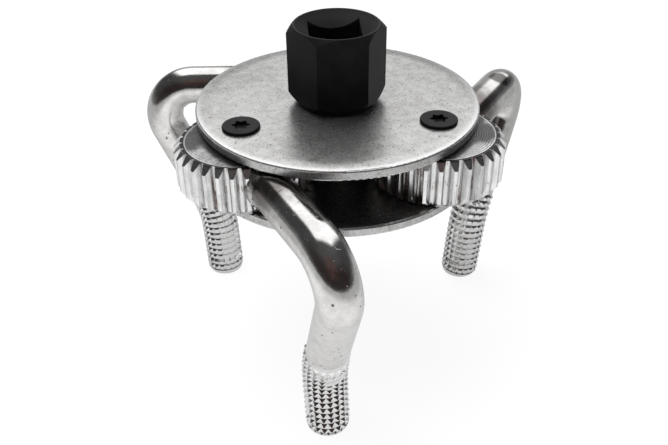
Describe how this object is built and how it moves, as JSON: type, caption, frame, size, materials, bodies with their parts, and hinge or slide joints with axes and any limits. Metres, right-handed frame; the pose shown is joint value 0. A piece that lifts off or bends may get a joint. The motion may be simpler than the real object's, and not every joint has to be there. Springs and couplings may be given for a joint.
{
  "type": "oil filter wrench",
  "caption": "Three-jaw geared oil filter wrench: a hex and square drive turns a central gear that swings three bent, knurled legs together around a filter.",
  "frame": {"origin": "on the drive axis, in the plane of the three leg ends", "axes": "+Z along the drive axis, from the leg ends to the hex; -Y is the side between the first two jaws"},
  "size_m": [0.1077, 0.1053, 0.0882],
  "materials": {
    "zinc_plate": "zinc plated sheet, satin and finely speckled",
    "black_steel": "black oxide, satin",
    "gear_steel": "oiled machined steel",
    "chromed_steel": "bright plating over drawn and cut steel",
    "weld_metal": "plated weld, mottled",
    "black_screw": "black oxide, satin",
    "zinc_small": "zinc plated"
  },
  "bodies": {
    "housing": {"top_plate": "zinc_plate", "bottom_plate": "zinc_plate", "sleeve_1": "gear_steel", "sleeve_2": "gear_steel", "sleeve_3": "gear_steel", "screws": "black_screw", "lock_washers": "zinc_small", "nuts": "zinc_small"},
    "drive": {"drive_spindle": "black_steel", "sun_gear": "gear_steel"},
    "jaw_1": {"jaw_gear_1": "chromed_steel", "arm_1": "chromed_steel", "weld_bead_1": "weld_metal"},
    "jaw_2": {"jaw_gear_2": "chromed_steel", "arm_2": "chromed_steel", "weld_bead_2": "weld_metal"},
    "jaw_3": {"jaw_gear_3": "chromed_steel", "arm_3": "chromed_steel", "weld_bead_3": "weld_metal"}
  },
  "joints": [
    {"name": "drive_turn", "type": "hinge", "parent": "housing", "child": "drive", "pos_m": [0, 0, 0.05975], "axis": [0, 0, 1], "range_deg": [-38, 255]},
    {"name": "jaw_1_swing", "type": "hinge", "parent": "housing", "child": "jaw_1", "pos_m": [-0.02338, -0.0135, 0.05975], "axis": [0, 0, 1], "range_deg": [-204, 30.4]},
    {"name": "jaw_2_swing", "type": "hinge", "parent": "housing", "child": "jaw_2", "pos_m": [0.02338, -0.0135, 0.05975], "axis": [0, 0, 1], "range_deg": [-204, 30.4]},
    {"name": "jaw_3_swing", "type": "hinge", "parent": "housing", "child": "jaw_3", "pos_m": [0, 0.027, 0.05975], "axis": [0, 0, 1], "range_deg": [-204, 30.4]}
  ],
  "couplings": [
    {"joint": "jaw_1_swing", "follows": "drive_turn", "ratio": -0.8},
    {"joint": "jaw_2_swing", "follows": "drive_turn", "ratio": -0.8},
    {"joint": "jaw_3_swing", "follows": "drive_turn", "ratio": -0.8}
  ]
}
